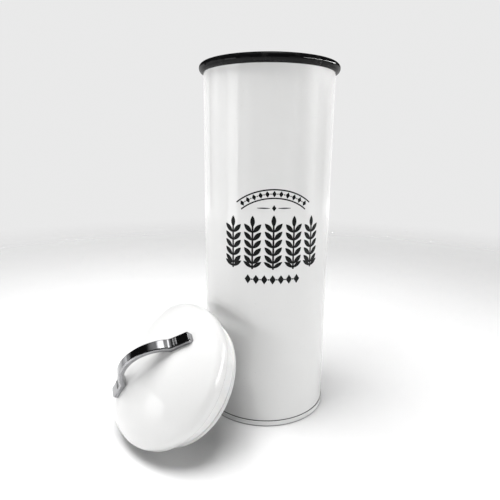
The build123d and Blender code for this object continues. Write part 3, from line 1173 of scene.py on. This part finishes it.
# %% [markdown]
# ## The floor
# The studio is a pale floor, panels of light and three lamps. The floor is one quad. It is plain near the
# canister and fades out before its horizon, which leaves no hard line behind the canister and needs no
# curved backdrop.

# %% The floor
floor_radius = 3.0
floor_plain = 0.28
floor_gone = 1.1
floor_pale = (0.88, 0.88, 0.88)
floor_dusty = (0.87, 0.87, 0.87)


def add_floor():
    half = floor_radius
    corners = [(-half, -half, 0), (half, -half, 0), (half, half, 0), (-half, half, 0)]
    mesh = bpy.data.meshes.new("floor")
    mesh.from_pydata(corners, [], [(0, 1, 2, 3)])
    floor = bpy.data.objects.new("floor", mesh)
    bpy.context.scene.collection.objects.link(floor)
    finish = Finish("floor", Roughness=0.55)
    cloud = finish.limits(finish.grain(60 * mm, detail=3), 0.3, 0.7)
    finish.feed(Base_Color=finish.mix(cloud, floor_pale, floor_dusty))
    reach = finish.node("ShaderNodeVectorMath", operation="LENGTH")
    finish.join(finish.place, reach.inputs[0])
    finish.feed(Alpha=finish.limits(reach.outputs["Value"], floor_plain, floor_gone, 1, 0))
    mesh.materials.append(finish.material)


add_floor()
bpy.context.scene.view_settings.view_transform = "Standard"
print("floor fades out from", floor_plain, "to", floor_gone, "m")

# %% [markdown]
# ## The panels of light
# What a glossy thing looks like is mostly what stands round it, so the light round the canister isn't
# even. It is drawn as soft-edged panels in the sky. Each row below gives where a panel starts and ends
# round the compass, how low and how high it reaches, how soft its side edges and its height edges are, and
# how bright it is. The compass is in degrees: 0 is behind the canister, 90 to its right and -90 to its
# left. A height is the upward part of the direction, so 0 is level and 1 is overhead.
# The panels of the room light everything and are seen in the gloss. The mirror panels are seen in the
# gloss alone: they draw crisp lines on the lacquer and the trim, and would make the white too bright if
# they lit it too. The walls all end at one low height, so that the trim's upper half stays black.

# %% The panels of light
wall_top = 0.165
room_panels = [
    (-200, 200, -1.2, -0.12, 9, 0.04, 1.0),             # the table
    (-55.5, 62, -0.14, wall_top, 0.5, 0.015, 1.0),      # the pale wall behind
    (-107, -61, -0.14, wall_top, 0.5, 0.015, 0.6),      # the left wall
    (-84, -72, 0.10, 0.33, 2, 0.05, 0.5),               # its lighter upper part
    (67.5, 112, -0.14, wall_top, 0.5, 0.015, 0.7),      # the right wall
    (-127, -107, -0.18, wall_top, 0.5, 0.015, 1.4),     # a low window left of the camera
    (-150, -134, -0.14, 0.30, 1.5, 0.08, 0.35),         # the room behind the camera, left
    (130, 150, -0.14, 0.30, 2, 0.08, 0.35),             # the same, right
    (-200, 200, -0.14, 0.30, 9, 0.08, 0.04),            # the dark rest of it
]
mirror_panels = [
    (-107, -70, -0.16, wall_top, 3.0, 0.015, 0.35),     # sheen of the left wall
    (-127, -107, -0.18, wall_top, 0.4, 0.015, 0.9),     # glare of the window
    (88, 103, -0.14, wall_top, 0.4, 0.015, 0.9),        # a lighter strip of the right wall
    (50, 125, 0.240, 0.268, 3, 0.010, 90),              # a thin lamp high on the right
    (-200, 200, 0.93, 1.2, 9, 0.05, 0.45),              # glow round the overhead patch
]
print(len(room_panels), "panels light the room,", len(mirror_panels), "more are only mirrored")

# %% [markdown]
# ## The sky
# The panels become one number for each direction: a product of four soft steps for each panel, added up.
# The small patch nearly overhead is round, so it is measured by its angle from one direction. A light path
# node keeps what is only mirrored out of everything but the gloss, and shows the camera a plain pale
# backdrop instead of the panels.

# %% The sky
backdrop_tone = 0.82
room_tone = 0.012
patch_direction = (0.06, 0.16, 0.985)
patch_outer = 11
patch_inner = 4
patch_strength = 2.6


def add_panels(sky, panels, light, turn, height):
    """Adds a list of panels to the light so far."""
    for start, end, low, high, side, soft, strength in panels:
        a, b, e = radians(start), radians(end), radians(side)
        wide = sky.product(sky.limits(turn, a - e, a + e), sky.limits(turn, b - e, b + e, 1, 0))
        rising = sky.limits(height, low - soft, low + soft)
        falling = sky.limits(height, high - soft, high + soft, 1, 0)
        panel = sky.product(wide, sky.product(rising, falling))
        light = sky.total(light, sky.product(panel, strength))
    return light


def add_sky():
    world = bpy.data.worlds.new("studio")
    bpy.context.scene.world = world
    world.use_nodes = True
    sky = NodeKit(world.node_tree)
    direction = sky.node("ShaderNodeTexCoord").outputs["Generated"]
    split = sky.node("ShaderNodeSeparateXYZ")
    sky.join(direction, split.inputs[0])
    turn = sky.reckon("ARCTAN2", split.outputs["X"], split.outputs["Y"])
    lit = add_panels(sky, room_panels, room_tone, turn, split.outputs["Z"])
    mirrored = add_panels(sky, mirror_panels, 0.0, turn, split.outputs["Z"])
    near = sky.node("ShaderNodeVectorMath", operation="DOT_PRODUCT")
    sky.join(direction, near.inputs[0])
    near.inputs[1].default_value = patch_direction
    patch = sky.limits(near.outputs["Value"], cos(radians(patch_outer)), cos(radians(patch_inner)))
    mirrored = sky.total(mirrored, sky.product(patch, patch_strength))
    path = sky.node("ShaderNodeLightPath")
    light = sky.total(lit, sky.product(mirrored, path.outputs["Is Glossy Ray"]))
    background = sky.nodes["Background"]
    background.inputs["Color"].default_value = (1, 1, 1, 1)
    sky.join(light, background.inputs["Strength"])
    backdrop = sky.node("ShaderNodeBackground")
    backdrop.inputs["Color"].default_value = (backdrop_tone, backdrop_tone, backdrop_tone, 1)
    choose = sky.node("ShaderNodeMixShader")
    sky.join(path.outputs["Is Camera Ray"], choose.inputs["Fac"])
    sky.join(background.outputs[0], choose.inputs[1])
    sky.join(backdrop.outputs[0], choose.inputs[2])
    sky.join(choose.outputs[0], sky.nodes["World Output"].inputs["Surface"])
    print("sky made of", len(sky.nodes), "nodes")


add_sky()

# %% [markdown]
# ## The lamps
# Three soft lamps do much of the lighting: a large one over the canister, a small one low near the window
# and one low on the right. They are kept out of the camera's view and out of the reflections, so the
# polished handle can stay mostly black. Brighter panels could light the canister too, but a lamp gives
# less noise.

# %% The lamps
def add_softbox(name, place, aim, width, height, power):
    data = bpy.data.lights.new(name, "AREA")
    data.shape = "RECTANGLE"
    data.size, data.size_y = width, height
    data.energy = power
    light = bpy.data.objects.new(name, data)
    light.location = place
    light.rotation_mode = "QUATERNION"
    light.rotation_quaternion = (Vector(aim) - Vector(place)).to_track_quat("-Z", "Y")
    light.visible_camera = False
    light.visible_glossy = False
    bpy.context.scene.collection.objects.link(light)
    print(name, width, "x", height, "m,", power, "W")


add_softbox("ceiling_lamp", (-0.17, -0.06, 1.15), (-0.02, -0.02, 0.08), 0.8, 0.8, 21.2)
add_softbox("window_light", (-0.70, -0.52, 0.18), (0.02, 0, 0.08), 0.16, 0.12, 1.6)
add_softbox("right_fill", (0.82, -0.38, 0.10), (0.03, 0, 0.06), 0.4, 0.16, 3.2)
